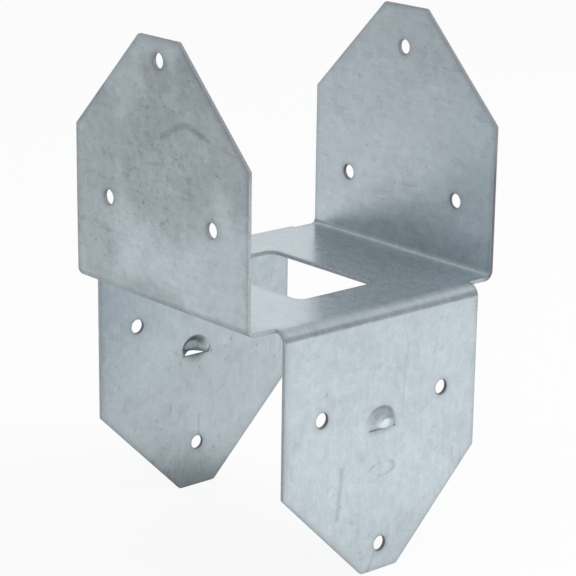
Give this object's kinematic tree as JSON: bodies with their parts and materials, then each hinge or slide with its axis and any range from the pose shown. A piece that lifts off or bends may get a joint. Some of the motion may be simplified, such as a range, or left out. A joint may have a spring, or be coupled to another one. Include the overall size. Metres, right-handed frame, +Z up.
{
  "type": "timber post base",
  "caption": "Folded galvanised steel connector that seats a timber beam on a post, with nail flanges up one way and down the other.",
  "frame": {"origin": "centre of the plate's top face, midway between all four flanges", "axes": "+Z up, away from the post; the beam runs along Y between the upper flanges at -X and +X; the lower flanges hang at -Y (front) and +Y (back)"},
  "size_m": [0.093, 0.0908, 0.1534],
  "materials": {
    "galvanised_steel": "satin hot-dip galvanised, faint spangle and handling scuffs"
  },
  "bodies": {
    "root": {"folded_bracket": "galvanised_steel"}
  },
  "joints": []
}
